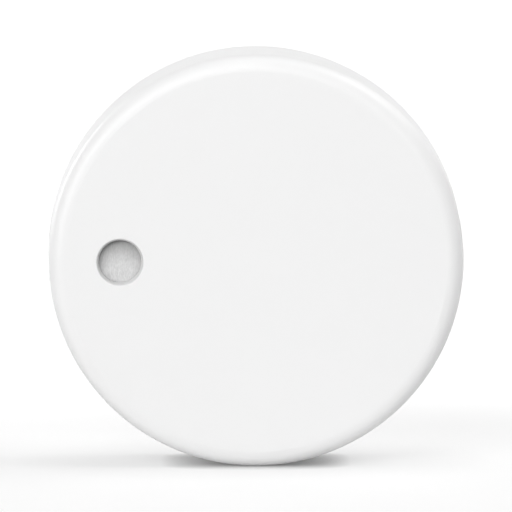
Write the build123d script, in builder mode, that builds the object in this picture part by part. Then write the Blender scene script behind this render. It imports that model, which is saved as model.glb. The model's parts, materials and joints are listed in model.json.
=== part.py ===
from build123d import *
from math import cos, radians, sin
import os

# A round wireless environmental sensor that stands on its rim, in millimetres.
# X runs to the right, Y from the front face to the back, and +Z is up.
# The origin is on the ground, below the middle of the puck.

os.makedirs("parts", exist_ok=True)

# Case shells
case_radius = 26.0
front_wall = 1.3
side_wall = 1.6
back_wall = 1.2
front_edge_radius = 2.0
back_edge_bevel = 1.2
inside_bevel = 0.5
flange_thickness = 2.0
flange_step = 0.1
seam_bevel = 0.15
mouth_bevel = 0.4
wall_root = 0.5

# Skirt of the back cover, with its seal
skirt_clearance = 0.2
skirt_wall = 1.8
skirt_length = 3.65
seal_setback = 2.05
seal_groove_width = 1.3
seal_groove_depth = 0.75
seal_width = 1.15
seal_bevel = 0.28
seal_fit = 0.05

# Slot for a coin or a fingernail at the seam
pry_width = 8.0
pry_depth = 1.0
pry_height = 1.2

# Board
front_gap = 1.1
board_thickness = 0.8
board_clearance = 0.15
tooling_hole_radius = 1.0
tooling_hole_setback = 3.4
tooling_hole_angles = (75.0, 285.0)

# Ribs of the front cover that carry the board
rib_count = 6
rib_start = 30.0
rib_width = 2.4
ledge_reach = 1.6
upright_depth = 1.65
upright_rise = 0.85
key_angle = 270.0
key_width = 1.6
key_reach = 1.2
key_clearance = 0.2

# Ribs of the back cover that hold the board down, and its stiffening ribs
hold_count = 6
hold_width = 6.0
hold_reach = 1.4
hold_root = 0.2
stiffener_gap = 1.05
stiffener_width = 0.8
stiffener_height = 1.0

# Vent, membrane and the foam ring round the humidity sensor
vent_radius = 2.7
vent_mouth_bevel = 0.3
membrane_radius = 4.2
membrane_thickness = 0.25
adhesive_thickness = 0.15
adhesive_width = 1.1
pocket_clearance = 0.1
gasket_radius = 5.0
gasket_width = 1.5
gasket_margin = 0.53

# Coin cell
cell_radius = 12.25
cell_height = 7.7
cell_sheet = 0.3
cell_bevel = 0.6
crimp_bevel = 0.2
cell_clearance = 0.1
cap_setback = 2.35
cap_height = 1.35
cap_flange_setback = 0.95
cap_bevel = 0.2
cap_proud = 0.2
crimp_setback = 1.55
gasket_lip = 0.3
cell_fit = 0.02
lithium_thickness = 1.3
separator_thickness = 0.1

# Cell holder and its two contacts
holder_clearance = 0.2
holder_wall = 1.4
holder_height = 6.25
holder_bevel = 0.4
seat_reach = 1.55
seat_width = 4.0
seat_count = 4
seat_start = 45.0
finger_slot_width = 9.0
finger_slot_depth = 4.7
contact_window = 4.8
peg_radius = 0.55
peg_clearance = 0.1
peg_count = 3
peg_start = 60.0
contact_height = 0.3
contact_sheet = 0.25
contact_width = 4.0
contact_bend = 0.35
contact_foot = 2.6
contact_fit = 0.05
hairpin_drop = 0.45
leaf_sheet = 0.15
leaf_width = 5.0
leaf_flat = 1.6
leaf_slope = 4.4
leaf_foot = 2.0

# Push switches
reset_angle = 35.0
mode_angle = -35.0
switch_length = 4.2
switch_width = 3.2
switch_height = 1.25
switch_sheet = 0.15
switch_leg = 0.8
well_radius = 1.4
well_floor = 0.3
button_radius = 0.85
button_flange_radius = 1.25
button_flange = 0.35
button_height = 0.85
button_clearance = 0.1
button_bevel = 0.15

# Chips and small components, as length, width and height
radio_size = (6.0, 6.0, 0.85)
humidity_size = (2.5, 2.5, 0.93)
motion_size = (2.0, 2.0, 1.0)
main_crystal_size = (3.2, 2.5, 0.7)
clock_crystal_size = (3.2, 1.5, 0.8)
crystal_lid_inset = 0.15
light_size = (1.6, 0.8, 0.6)
light_base = 0.25
capacitor_size = (1.0, 0.5, 0.5)
resistor_size = (1.0, 0.5, 0.35)
bulk_size = (3.2, 1.6, 1.6)
chip_bevel = 0.08
sensor_port_radius = 0.25
sensor_port_depth = 0.2

# Their places across the board, seen from the front
radio_place = (5.5, 0.0)
motion_place = (-2.5, -3.0)
main_crystal_place = (11.6, 1.8)
clock_crystal_place = (11.6, -2.2)
capacitor_pitch = (2.0, 10.0)
capacitor_columns = 3
light_radius = 16.0
red_angle = 98.0
green_angle = 82.0
light_resistor_setback = 2.2
window_radius = 1.6
window_depth = 0.7
bulk_angle = 216.0
switch_resistor_angle = 12.0

# Slots that keep the board's heat from the sensor, and the antenna track
heat_slot_offset = 6.2
heat_slot_length = 6.0
heat_slot_width = 1.0
antenna_start = 102.0
antenna_step = 4.4
antenna_turns = 5
antenna_reach = 4.0
antenna_width = 0.6
antenna_thickness = 0.05

# Foam pad that presses the cell into its seat
pad_radius = 8.0
pad_recess = 0.4
pad_clearance = 0.1

# Places along Y, from the front face to the back
case_depth = (
    front_wall + front_gap + board_thickness + contact_height
    + cell_height + cell_clearance + back_wall
)
front_y = -case_depth / 2
front_inside_y = front_y + front_wall
board_front_y = front_inside_y + front_gap
board_back_y = board_front_y + board_thickness
cell_front_y = board_back_y + contact_height
cell_back_y = cell_front_y + cell_height
back_inside_y = cell_back_y + cell_clearance
back_y = back_inside_y + back_wall
seam_y = back_y - flange_thickness
skirt_end_y = seam_y - skirt_length
seal_y = seam_y - seal_setback
upright_end_y = board_back_y + upright_rise
holder_end_y = board_back_y + holder_height
can_rim_y = cell_front_y + cap_proud

# Radii, from the rim inwards
flange_radius = case_radius - flange_step
bore_radius = case_radius - side_wall
skirt_radius = bore_radius - skirt_clearance
skirt_inner_radius = skirt_radius - skirt_wall
groove_radius = skirt_radius - seal_groove_depth
upright_radius = bore_radius - upright_depth
board_radius = upright_radius - board_clearance
ledge_radius = board_radius - ledge_reach
hold_radius = board_radius - hold_reach
cap_radius = cell_radius - cap_setback
cap_flange_radius = cell_radius - cap_flange_setback
crimp_radius = cell_radius - crimp_setback
holder_inner_radius = cell_radius + holder_clearance
holder_outer_radius = holder_inner_radius + holder_wall
bay_radius = (holder_outer_radius + hold_radius) / 2
vent_offset = board_radius - gasket_radius - gasket_margin
vent_place = (-vent_offset, 0)
switch_angles = {"reset": reset_angle, "mode": mode_angle}
light_angles = {"red": red_angle, "green": green_angle}

case_axis = Axis((0, 0, case_radius), (0, 1, 0))
axis_plane = Plane.XY.offset(case_radius)
match_tolerance = 0.001


def across(y):
    """Plane across the puck at y, seen from the front: a positive extrusion runs towards the front."""
    return Plane(origin=(0, y, case_radius), x_dir=(1, 0, 0), z_dir=(0, -1, 0))


def spot(radius, angle):
    """Place across the puck from its distance to the middle and its angle, seen from the front."""
    return (radius * cos(radians(angle)), radius * sin(radians(angle)))


def rings(part, radius, y):
    """Round edges of a part that have this radius and lie at this place along Y."""
    return [
        edge for edge in part.edges().filter_by(GeomType.CIRCLE)
        if abs(edge.radius - radius) < match_tolerance
        and abs(edge.center().Y - y) < match_tolerance
    ]


def chip_edges(part, y):
    """Edges of a component's face that points away from the board."""
    return part.faces().filter_by(Axis.Y).sort_by(lambda face: abs(face.center().Y - y))[0].edges()


# Front cover: a moulded cup with its ledges, uprights and key for the board

with BuildPart() as front_cover:
    with BuildSketch(axis_plane):
        with BuildLine():
            Polyline(
                (0, front_y),
                (case_radius, front_y),
                (case_radius, seam_y),
                (bore_radius, seam_y),
                (bore_radius, front_inside_y),
                (0, front_inside_y),
                close=True,
            )
        make_face()
    revolve(axis=case_axis)
    fillet(rings(front_cover, case_radius, front_y), radius=front_edge_radius)
    chamfer(rings(front_cover, case_radius, seam_y), length=seam_bevel)
    chamfer(rings(front_cover, bore_radius, seam_y), length=mouth_bevel)
    chamfer(rings(front_cover, bore_radius, front_inside_y), length=inside_bevel)
    root_radius = bore_radius + wall_root
    with BuildSketch(across(board_front_y)):
        with PolarLocations((ledge_radius + root_radius) / 2, rib_count, start_angle=rib_start):
            Rectangle(root_radius - ledge_radius, rib_width)
    extrude(amount=front_gap)
    with BuildSketch(across(upright_end_y)):
        with PolarLocations((upright_radius + root_radius) / 2, rib_count, start_angle=rib_start):
            Rectangle(root_radius - upright_radius, rib_width)
        key_radius = board_radius - key_reach
        with PolarLocations((key_radius + root_radius) / 2, 1, start_angle=key_angle):
            Rectangle(root_radius - key_radius, key_width)
    extrude(amount=upright_end_y - front_inside_y)
    with BuildSketch(across(front_inside_y)):
        with Locations(vent_place):
            Circle(membrane_radius + pocket_clearance)
    extrude(amount=adhesive_thickness + membrane_thickness, mode=Mode.SUBTRACT)
    with BuildSketch(across(front_inside_y)):
        with Locations(vent_place):
            Circle(vent_radius)
    extrude(amount=front_wall, mode=Mode.SUBTRACT)
    chamfer(rings(front_cover, vent_radius, front_y), length=vent_mouth_bevel)
    with BuildSketch(across(front_inside_y)):
        with Locations(*[spot(light_radius, angle) for angle in light_angles.values()]):
            Circle(window_radius)
    extrude(amount=window_depth, mode=Mode.SUBTRACT)
    with BuildSketch(across(seam_y)):
        with Locations((case_radius, 0)):
            Rectangle(2 * pry_depth, pry_width)
    extrude(amount=pry_height, mode=Mode.SUBTRACT)

front_cover.part.label = "front_cover"
export_step(front_cover.part, "parts/front_cover.step")


# Back cover: flange, skirt with its seal groove, hold-down ribs and stiffening ribs

groove_back_y = seal_y + seal_groove_width / 2
groove_front_y = seal_y - seal_groove_width / 2

with BuildPart() as back_cover:
    with BuildSketch(axis_plane):
        with BuildLine():
            Polyline(
                (0, back_y),
                (flange_radius, back_y),
                (flange_radius, seam_y),
                (skirt_radius, seam_y),
                (skirt_radius, groove_back_y),
                (groove_radius, groove_back_y),
                (groove_radius, groove_front_y),
                (skirt_radius, groove_front_y),
                (skirt_radius, skirt_end_y),
                (skirt_inner_radius, skirt_end_y),
                (skirt_inner_radius, back_inside_y),
                (0, back_inside_y),
                close=True,
            )
        make_face()
    revolve(axis=case_axis)
    chamfer(rings(back_cover, flange_radius, back_y), length=back_edge_bevel)
    chamfer(rings(back_cover, flange_radius, seam_y), length=seam_bevel)
    hold_root_radius = skirt_inner_radius + hold_root
    with BuildSketch(across(back_inside_y)):
        with PolarLocations((hold_radius + hold_root_radius) / 2, hold_count):
            Rectangle(hold_root_radius - hold_radius, hold_width)
    extrude(amount=back_inside_y - board_back_y)
    stiffener_radius = holder_outer_radius + stiffener_gap
    with BuildSketch(across(back_inside_y)):
        Circle(stiffener_radius + stiffener_width)
        with PolarLocations((stiffener_radius + hold_root_radius) / 2, hold_count):
            Rectangle(hold_root_radius - stiffener_radius, stiffener_width)
        Circle(stiffener_radius, mode=Mode.SUBTRACT)
    extrude(amount=stiffener_height)
    with BuildSketch(across(back_inside_y)):
        Circle(pad_radius + pad_clearance)
    extrude(amount=-pad_recess, mode=Mode.SUBTRACT)

back_cover.part.label = "back_cover"
export_step(back_cover.part, "parts/back_cover.step")

with BuildPart() as seal_ring:
    seal_inner_radius = groove_radius + seal_fit
    seal_outer_radius = bore_radius - seal_fit
    with BuildSketch(axis_plane) as seal_section:
        with Locations(((seal_inner_radius + seal_outer_radius) / 2, seal_y)):
            Rectangle(seal_outer_radius - seal_inner_radius, seal_width)
        chamfer(seal_section.vertices(), length=seal_bevel)
    revolve(axis=case_axis)

seal_ring.part.label = "seal_ring"
export_step(seal_ring.part, "parts/seal_ring.step")

with BuildPart() as foam_pad:
    with BuildSketch(across(back_inside_y + pad_recess)):
        Circle(pad_radius)
    extrude(amount=pad_recess + cell_clearance)

foam_pad.part.label = "foam_pad"
export_step(foam_pad.part, "parts/foam_pad.step")


# Vent: adhesive ring, membrane, and the foam ring that seals the sensor's chamber

with BuildPart() as membrane_adhesive:
    with BuildSketch(across(front_inside_y - membrane_thickness)):
        with Locations(vent_place):
            Circle(membrane_radius)
            Circle(membrane_radius - adhesive_width, mode=Mode.SUBTRACT)
    extrude(amount=adhesive_thickness)

membrane_adhesive.part.label = "membrane_adhesive"
export_step(membrane_adhesive.part, "parts/membrane_adhesive.step")

with BuildPart() as vent_membrane:
    with BuildSketch(across(front_inside_y)):
        with Locations(vent_place):
            Circle(membrane_radius)
    extrude(amount=membrane_thickness)

vent_membrane.part.label = "vent_membrane"
export_step(vent_membrane.part, "parts/vent_membrane.step")

with BuildPart() as sensor_gasket:
    with BuildSketch(across(board_front_y)):
        with Locations(vent_place):
            Circle(gasket_radius)
            Circle(gasket_radius - gasket_width, mode=Mode.SUBTRACT)
    extrude(amount=front_gap)

sensor_gasket.part.label = "sensor_gasket"
export_step(sensor_gasket.part, "parts/sensor_gasket.step")


# Circuit board, with its notch for the key, peg holes, tooling holes and heat slots

peg_circle_radius = (holder_inner_radius + holder_outer_radius) / 2

with BuildPart() as circuit_board:
    with BuildSketch(across(board_back_y)):
        Circle(board_radius)
        notch_depth = key_reach + key_clearance
        with PolarLocations(board_radius, 1, start_angle=key_angle):
            Rectangle(2 * notch_depth, key_width + 2 * key_clearance, mode=Mode.SUBTRACT)
        with PolarLocations(peg_circle_radius, peg_count, start_angle=peg_start):
            Circle(peg_radius + peg_clearance, mode=Mode.SUBTRACT)
        with Locations(*[spot(board_radius - tooling_hole_setback, a) for a in tooling_hole_angles]):
            Circle(tooling_hole_radius, mode=Mode.SUBTRACT)
        with Locations((-vent_offset, heat_slot_offset), (-vent_offset, -heat_slot_offset)):
            SlotOverall(heat_slot_length, heat_slot_width, mode=Mode.SUBTRACT)
    extrude(amount=board_thickness)

circuit_board.part.label = "circuit_board"
export_step(circuit_board.part, "parts/circuit_board.step")

antenna_inner = bay_radius - antenna_reach / 2
antenna_outer = bay_radius + antenna_reach / 2
antenna_points = []
for turn in range(antenna_turns):
    out_angle = antenna_start + 2 * turn * antenna_step
    back_angle = out_angle + antenna_step
    antenna_points += [spot(antenna_inner, out_angle), spot(antenna_outer, out_angle)]
    antenna_points += [spot(antenna_outer, back_angle), spot(antenna_inner, back_angle)]

with BuildPart() as board_antenna:
    with BuildSketch(across(board_back_y + antenna_thickness)):
        with BuildLine():
            Polyline(*antenna_points)
        trace(line_width=antenna_width)
    extrude(amount=antenna_thickness)

board_antenna.part.label = "board_antenna"
export_step(board_antenna.part, "parts/board_antenna.step")


# Components on the front of the board

with BuildPart() as radio_chip:
    with BuildSketch(across(board_front_y)):
        with Locations(radio_place):
            Rectangle(radio_size[0], radio_size[1])
    extrude(amount=radio_size[2])
    chamfer(chip_edges(radio_chip, front_y), length=chip_bevel)

radio_chip.part.label = "radio_chip"
export_step(radio_chip.part, "parts/radio_chip.step")

with BuildPart() as humidity_sensor:
    with BuildSketch(across(board_front_y)):
        with Locations(vent_place):
            Rectangle(humidity_size[0], humidity_size[1])
    extrude(amount=humidity_size[2])
    chamfer(chip_edges(humidity_sensor, front_y), length=chip_bevel)
    with BuildSketch(across(board_front_y - humidity_size[2])):
        with Locations(vent_place):
            Circle(sensor_port_radius)
    extrude(amount=-sensor_port_depth, mode=Mode.SUBTRACT)

humidity_sensor.part.label = "humidity_sensor"
export_step(humidity_sensor.part, "parts/humidity_sensor.step")

with BuildPart() as accelerometer:
    with BuildSketch(across(board_front_y)):
        with Locations(motion_place):
            Rectangle(motion_size[0], motion_size[1])
    extrude(amount=motion_size[2])
    chamfer(chip_edges(accelerometer, front_y), length=chip_bevel)

accelerometer.part.label = "accelerometer"
export_step(accelerometer.part, "parts/accelerometer.step")


def crystal(size, place):
    """Crystal in a low ceramic tray, with a metal lid that stands in a little from the tray's edge."""
    with BuildPart() as can:
        with BuildSketch(across(board_front_y)):
            with Locations(place):
                Rectangle(size[0], size[1])
        extrude(amount=size[2] / 2)
        with BuildSketch(across(board_front_y)):
            with Locations(place):
                Rectangle(size[0] - 2 * crystal_lid_inset, size[1] - 2 * crystal_lid_inset)
        extrude(amount=size[2])
        chamfer(chip_edges(can, front_y), length=chip_bevel)
    return can


main_crystal = crystal(main_crystal_size, main_crystal_place)
main_crystal.part.label = "main_crystal"
export_step(main_crystal.part, "parts/main_crystal.step")

clock_crystal = crystal(clock_crystal_size, clock_crystal_place)
clock_crystal.part.label = "clock_crystal"
export_step(clock_crystal.part, "parts/clock_crystal.step")

for colour, angle in light_angles.items():
    with BuildPart() as light:
        with BuildSketch(across(board_front_y)):
            with Locations(spot(light_radius, angle)):
                Rectangle(light_size[0], light_size[1])
        extrude(amount=light_base)
        with BuildSketch(across(board_front_y)):
            with Locations(spot(light_radius, angle)):
                Rectangle(light_size[0] - light_base, light_size[1])
        extrude(amount=light_size[2])
        chamfer(chip_edges(light, front_y), length=chip_bevel)
    light.part.label = f"{colour}_led"
    export_step(light.part, f"parts/{colour}_led.step")

with BuildPart() as chip_capacitors:
    with BuildSketch(across(board_front_y)):
        with Locations(radio_place):
            with GridLocations(capacitor_pitch[0], capacitor_pitch[1], capacitor_columns, 2):
                Rectangle(capacitor_size[0], capacitor_size[1])
        with Locations(motion_place):
            with GridLocations(motion_size[0] + 2 * capacitor_size[0], 0, 2, 1):
                Rectangle(capacitor_size[1], capacitor_size[0])
    extrude(amount=capacitor_size[2])

chip_capacitors.part.label = "chip_capacitors"
export_step(chip_capacitors.part, "parts/chip_capacitors.step")

with BuildPart() as chip_resistors:
    with BuildSketch(across(board_front_y)):
        resistor_radius = light_radius - light_resistor_setback
        with Locations(*[spot(resistor_radius, angle) for angle in light_angles.values()]):
            Rectangle(resistor_size[0], resistor_size[1])
    extrude(amount=resistor_size[2])
    with BuildSketch(across(board_back_y + resistor_size[2])):
        for angle in switch_angles.values():
            with PolarLocations(bay_radius, 2, start_angle=angle - switch_resistor_angle,
                                angular_range=4 * switch_resistor_angle):
                Rectangle(resistor_size[1], resistor_size[0])
    extrude(amount=resistor_size[2])

chip_resistors.part.label = "chip_resistors"
export_step(chip_resistors.part, "parts/chip_resistors.step")

with BuildPart() as bulk_capacitor:
    with BuildSketch(across(board_back_y + bulk_size[2])):
        with PolarLocations(bay_radius, 1, start_angle=bulk_angle):
            Rectangle(bulk_size[1], bulk_size[0])
    extrude(amount=bulk_size[2])
    chamfer(chip_edges(bulk_capacitor, back_y), length=chip_bevel)

bulk_capacitor.part.label = "bulk_capacitor"
export_step(bulk_capacitor.part, "parts/bulk_capacitor.step")


# Cell holder: ring with seats under the cell's rim, finger slots, a contact window and pegs

seat_height = can_rim_y - board_back_y
seat_radius = holder_inner_radius - seat_reach

with BuildPart() as battery_holder:
    with BuildSketch(across(holder_end_y)):
        Circle(holder_outer_radius)
        Circle(holder_inner_radius, mode=Mode.SUBTRACT)
    extrude(amount=holder_height)
    chamfer(rings(battery_holder, holder_inner_radius, holder_end_y), length=holder_bevel)
    with BuildSketch(across(can_rim_y)):
        with PolarLocations((seat_radius + peg_circle_radius) / 2, seat_count, start_angle=seat_start):
            Rectangle(peg_circle_radius - seat_radius, seat_width)
    extrude(amount=seat_height)
    with BuildSketch(across(holder_end_y)):
        Rectangle(finger_slot_width, 3 * holder_outer_radius)
    extrude(amount=finger_slot_depth, mode=Mode.SUBTRACT)
    with BuildSketch(across(holder_end_y)):
        with Locations((peg_circle_radius, 0)):
            Rectangle(2 * holder_wall, contact_window)
    extrude(amount=holder_height, mode=Mode.SUBTRACT)
    with BuildSketch(across(board_back_y)):
        with PolarLocations(peg_circle_radius, peg_count, start_angle=peg_start):
            Circle(peg_radius)
    extrude(amount=board_thickness)

battery_holder.part.label = "battery_holder"
export_step(battery_holder.part, "parts/battery_holder.step")

# The side contact is a hairpin: foot on the board, outer leg, bend, and a nose against the can

outer_leg = holder_outer_radius + contact_sheet / 2
nose = cell_radius + contact_fit + contact_sheet / 2
foot_y = board_back_y + contact_sheet / 2
hairpin_y = holder_end_y - hairpin_drop
nose_y = cell_front_y + cell_height / 2
tip_y = (nose_y + can_rim_y) / 2
inner_leg = (outer_leg + nose) / 2

with BuildPart() as positive_contact:
    with BuildSketch(axis_plane):
        with BuildLine():
            FilletPolyline(
                (outer_leg + contact_foot, foot_y),
                (outer_leg, foot_y),
                (outer_leg, hairpin_y),
                (inner_leg, hairpin_y),
                (nose, nose_y),
                (inner_leg, tip_y),
                radius=contact_bend,
            )
        trace(line_width=contact_sheet)
    extrude(amount=contact_width / 2, both=True)

positive_contact.part.label = "positive_contact"
export_step(positive_contact.part, "parts/positive_contact.step")

# The middle contact is an arched leaf between the board and the cell's cap

leaf_low = board_back_y + leaf_sheet / 2
leaf_high = cell_front_y - leaf_sheet / 2
leaf_knee = leaf_flat + leaf_slope

with BuildPart() as negative_contact:
    with BuildSketch(axis_plane):
        with BuildLine():
            Polyline(
                (-leaf_knee - leaf_foot, leaf_low),
                (-leaf_knee, leaf_low),
                (-leaf_flat, leaf_high),
                (leaf_flat, leaf_high),
                (leaf_knee, leaf_low),
                (leaf_knee + leaf_foot, leaf_low),
            )
        trace(line_width=leaf_sheet)
    extrude(amount=leaf_width / 2, both=True)

negative_contact.part.label = "negative_contact"
export_step(negative_contact.part, "parts/negative_contact.step")


# Coin cell: crimped can, cap, gasket between them, and the pellets inside

cap_flange_y = cell_front_y + cap_height - cell_sheet
cap_inside_y = cell_front_y + cell_sheet
can_inside_radius = cell_radius - cell_sheet

with BuildPart() as cell_can:
    with BuildSketch(axis_plane):
        with BuildLine():
            Polyline(
                (0, cell_back_y),
                (cell_radius, cell_back_y),
                (cell_radius, can_rim_y),
                (crimp_radius, can_rim_y),
                (crimp_radius, can_rim_y + cell_sheet),
                (can_inside_radius, can_rim_y + cell_sheet),
                (can_inside_radius, cell_back_y - cell_sheet),
                (0, cell_back_y - cell_sheet),
                close=True,
            )
        make_face()
    revolve(axis=case_axis)
    chamfer(rings(cell_can, can_inside_radius, cell_back_y - cell_sheet), length=cell_bevel - cell_sheet / 2)
    chamfer(rings(cell_can, cell_radius, cell_back_y), length=cell_bevel)
    chamfer(rings(cell_can, cell_radius, can_rim_y), length=crimp_bevel)

cell_can.part.label = "cell_can"
export_step(cell_can.part, "parts/cell_can.step")

with BuildPart() as cell_cap:
    with BuildSketch(axis_plane):
        with BuildLine():
            Polyline(
                (0, cell_front_y),
                (cap_radius, cell_front_y),
                (cap_radius, cap_flange_y),
                (cap_flange_radius, cap_flange_y),
                (cap_flange_radius, cap_flange_y + cell_sheet),
                (cap_radius - cell_sheet, cap_flange_y + cell_sheet),
                (cap_radius - cell_sheet, cap_inside_y),
                (0, cap_inside_y),
                close=True,
            )
        make_face()
    revolve(axis=case_axis)
    chamfer(rings(cell_cap, cap_radius, cell_front_y), length=cap_bevel)

cell_cap.part.label = "cell_cap"
export_step(cell_cap.part, "parts/cell_cap.step")

with BuildPart() as cell_gasket:
    with BuildSketch(axis_plane):
        with BuildLine():
            Polyline(
                (cap_radius + cell_fit, can_rim_y),
                (crimp_radius - cell_fit, can_rim_y),
                (crimp_radius - cell_fit, can_rim_y + cell_sheet),
                (can_inside_radius - cell_fit, can_rim_y + cell_sheet),
                (can_inside_radius - cell_fit, cap_flange_y + cell_sheet + gasket_lip),
                (cap_flange_radius + cell_fit, cap_flange_y + cell_sheet + gasket_lip),
                (cap_flange_radius + cell_fit, cap_flange_y),
                (cap_radius + cell_fit, cap_flange_y),
                close=True,
            )
        make_face()
    revolve(axis=case_axis)

cell_gasket.part.label = "cell_gasket"
export_step(cell_gasket.part, "parts/cell_gasket.step")

lithium_back_y = cap_inside_y + lithium_thickness
pellet_front_y = lithium_back_y + separator_thickness

with BuildPart() as lithium_disc:
    with BuildSketch(across(lithium_back_y)):
        Circle(cap_radius - cell_sheet - cell_fit)
    extrude(amount=lithium_thickness)

lithium_disc.part.label = "lithium_disc"
export_step(lithium_disc.part, "parts/lithium_disc.step")

with BuildPart() as cell_separator:
    with BuildSketch(across(pellet_front_y)):
        Circle(cap_flange_radius)
    extrude(amount=separator_thickness)

cell_separator.part.label = "cell_separator"
export_step(cell_separator.part, "parts/cell_separator.step")

with BuildPart() as cathode_pellet:
    with BuildSketch(across(cell_back_y - cell_sheet)):
        Circle(cap_flange_radius)
    extrude(amount=cell_back_y - cell_sheet - pellet_front_y)

cathode_pellet.part.label = "cathode_pellet"
export_step(cathode_pellet.part, "parts/cathode_pellet.step")


# Push switches on the back of the board: base with a well, folded shield, and the button

switch_top_y = board_back_y + switch_height
well_bottom_y = board_back_y + well_floor

for name, angle in switch_angles.items():
    with BuildPart() as switch_base:
        with BuildSketch(across(switch_top_y)):
            with PolarLocations(bay_radius, 1, start_angle=angle):
                Rectangle(switch_width, switch_length)
        extrude(amount=switch_height)
        with BuildSketch(across(switch_top_y)):
            with PolarLocations(bay_radius, 1, start_angle=angle):
                Circle(well_radius)
        extrude(amount=switch_top_y - well_bottom_y, mode=Mode.SUBTRACT)
    switch_base.part.label = f"{name}_switch_base"
    export_step(switch_base.part, f"parts/{name}_switch_base.step")

    with BuildPart() as switch_shield:
        with BuildSketch(across(switch_top_y + switch_sheet)):
            with PolarLocations(bay_radius, 1, start_angle=angle):
                Rectangle(switch_width + 2 * switch_sheet, switch_length)
                Circle(button_radius + button_clearance, mode=Mode.SUBTRACT)
        extrude(amount=switch_sheet)
        with BuildSketch(across(switch_top_y)):
            with PolarLocations(bay_radius, 1, start_angle=angle):
                with GridLocations(switch_width + switch_sheet, 0, 2, 1):
                    Rectangle(switch_sheet, switch_length / 2)
        extrude(amount=switch_leg)
    switch_shield.part.label = f"{name}_switch_shield"
    export_step(switch_shield.part, f"parts/{name}_switch_shield.step")

    with BuildPart() as button:
        with BuildSketch(across(switch_top_y)):
            with PolarLocations(bay_radius, 1, start_angle=angle):
                Circle(button_flange_radius)
        extrude(amount=button_flange)
        with BuildSketch(across(switch_top_y + switch_sheet + button_height)):
            with PolarLocations(bay_radius, 1, start_angle=angle):
                Circle(button_radius)
        extrude(amount=button_height + switch_sheet)
        chamfer(chip_edges(button, back_y), length=button_bevel)
    button.part.label = f"{name}_button"
    export_step(button.part, f"parts/{name}_button.step")
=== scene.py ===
"""Looks of a round wireless environmental sensor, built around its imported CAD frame.

Sizes are in millimetres, and MM turns them into metres where a mesh, a node or the camera takes them. Only the
studio, its lamps and the floor's card, is given in metres. The puck stands on its rim: its axis runs along Y at a
height of AXIS_Z, and its face looks towards -Y.
"""

import json
import math

import bmesh
import bpy
import numpy as np
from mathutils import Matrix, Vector

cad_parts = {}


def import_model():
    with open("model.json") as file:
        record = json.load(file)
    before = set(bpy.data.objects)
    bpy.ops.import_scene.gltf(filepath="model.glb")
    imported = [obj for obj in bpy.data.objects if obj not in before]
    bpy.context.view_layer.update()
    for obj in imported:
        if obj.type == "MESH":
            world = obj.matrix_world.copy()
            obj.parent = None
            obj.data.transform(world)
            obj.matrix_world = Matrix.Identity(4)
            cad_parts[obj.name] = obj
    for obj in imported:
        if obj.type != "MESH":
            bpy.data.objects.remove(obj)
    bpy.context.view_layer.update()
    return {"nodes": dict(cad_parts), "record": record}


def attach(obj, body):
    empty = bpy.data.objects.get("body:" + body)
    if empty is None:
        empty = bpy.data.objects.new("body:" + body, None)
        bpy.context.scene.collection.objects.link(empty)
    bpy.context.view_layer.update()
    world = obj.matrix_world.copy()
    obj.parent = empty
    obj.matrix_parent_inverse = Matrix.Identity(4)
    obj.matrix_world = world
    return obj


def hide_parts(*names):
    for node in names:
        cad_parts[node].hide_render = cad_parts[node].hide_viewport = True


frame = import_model()

MM = 0.001
AXIS_Z = 26
CENTRE_Z = AXIS_Z * MM

# Places shared with the CAD: across the puck, then along its axis from front to back
VENT_X, MEMBRANE_RADIUS = -17.07, 4.2
MEMBRANE_FRONT, FRONT_INSIDE = -5.2, -4.95
MOTION_TOP, RADIO_TOP = -4.85, -4.7
BOARD_FRONT, BOARD_BACK = -3.85, -3.05
CELL_BACK, COVER_INSIDE = 4.95, 5.05

# Rings of the vent hole's wall, from the mouth in: their place along Y in the CAD, their place here, their radius
VENT_WALL = ((-6.25, -6.25, 3.015), (-5.95, -6.1735, 2.9116), (-5.35, -5.35, 2.66))
# A point of the cover belongs to that wall if it is nearer the hole's axis and nearer the face than these
VENT_REACH, VENT_FOOT = 3.05, -5.3

# Places on the board, seen from its middle: a radius, angles in degrees, and (x, z)
BAY_RADIUS = 17.525
SWITCH_ANGLES = (35.0, -35.0)
LIGHT_ANGLES, LIGHT_RADIUS, LIGHT_RESISTOR_RADIUS = (98.0, 82.0), 16.0, 13.8
BULK_ANGLE = 216.0
RADIO, MOTION = (5.5, 0.0), (-2.5, -3.0)
MAIN_CRYSTAL, CLOCK_CRYSTAL, CRYSTAL_LENGTH = (11.6, 1.8), (11.6, -2.2), 3.2
# Length, width and height of the components that have tinned ends
SMALL_CAPACITOR, SMALL_RESISTOR, BULK_CAPACITOR = (1.0, 0.5, 0.5), (1.0, 0.5, 0.35), (3.2, 1.6, 1.6)
# How far masked copper, bare or plated copper, and printed ink rise from the board
TRACK_RISE, PAD_RISE, INK_RISE = 0.02, 0.03, 0.015

CASE_WHITE, CASE_ROUGHNESS = "#F2F2F2", 0.36

# Softboxes: azimuth and elevation seen from the puck, how much of a white face's light each gives, its side in
# metres, and whether gloss mirrors it
LAMPS = {
    "side_right": (90, 52, 0.40, 0.9, True),
    "fill_left": (315, 12, 0.34, 0.9, True),
    "key_front": (340, 35, 0.27, 0.9, True),
    "rim_left": (222, 12, 0.27, 0.9, True),
    "fill_front": (2, 12, 0.25, 0.9, True),
    "rim_right": (132, 30, 0.17, 0.9, True),
    "top": (0, 88, 0.13, 0.9, True),
    "back_fill": (180, 7, 0.30, 0.4, False),
}
# Metres from the puck's middle, and the watts that a share of 1 takes at a distance of one metre
LAMP_DISTANCE, WATTS_PER_SHARE = 1.6, 10.45


def put(name, data):
    """New object of that data, linked into the scene."""
    thing = bpy.data.objects.new(name, data)
    bpy.context.scene.collection.objects.link(thing)
    return thing


# Materials. Grain, fibres and lines that are finer than about a tenth of a millimetre wouldn't show in the render,
# so the moulded grain, the membrane's fibres and the metals' lines are drawn a few times as coarse as the real ones.

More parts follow.
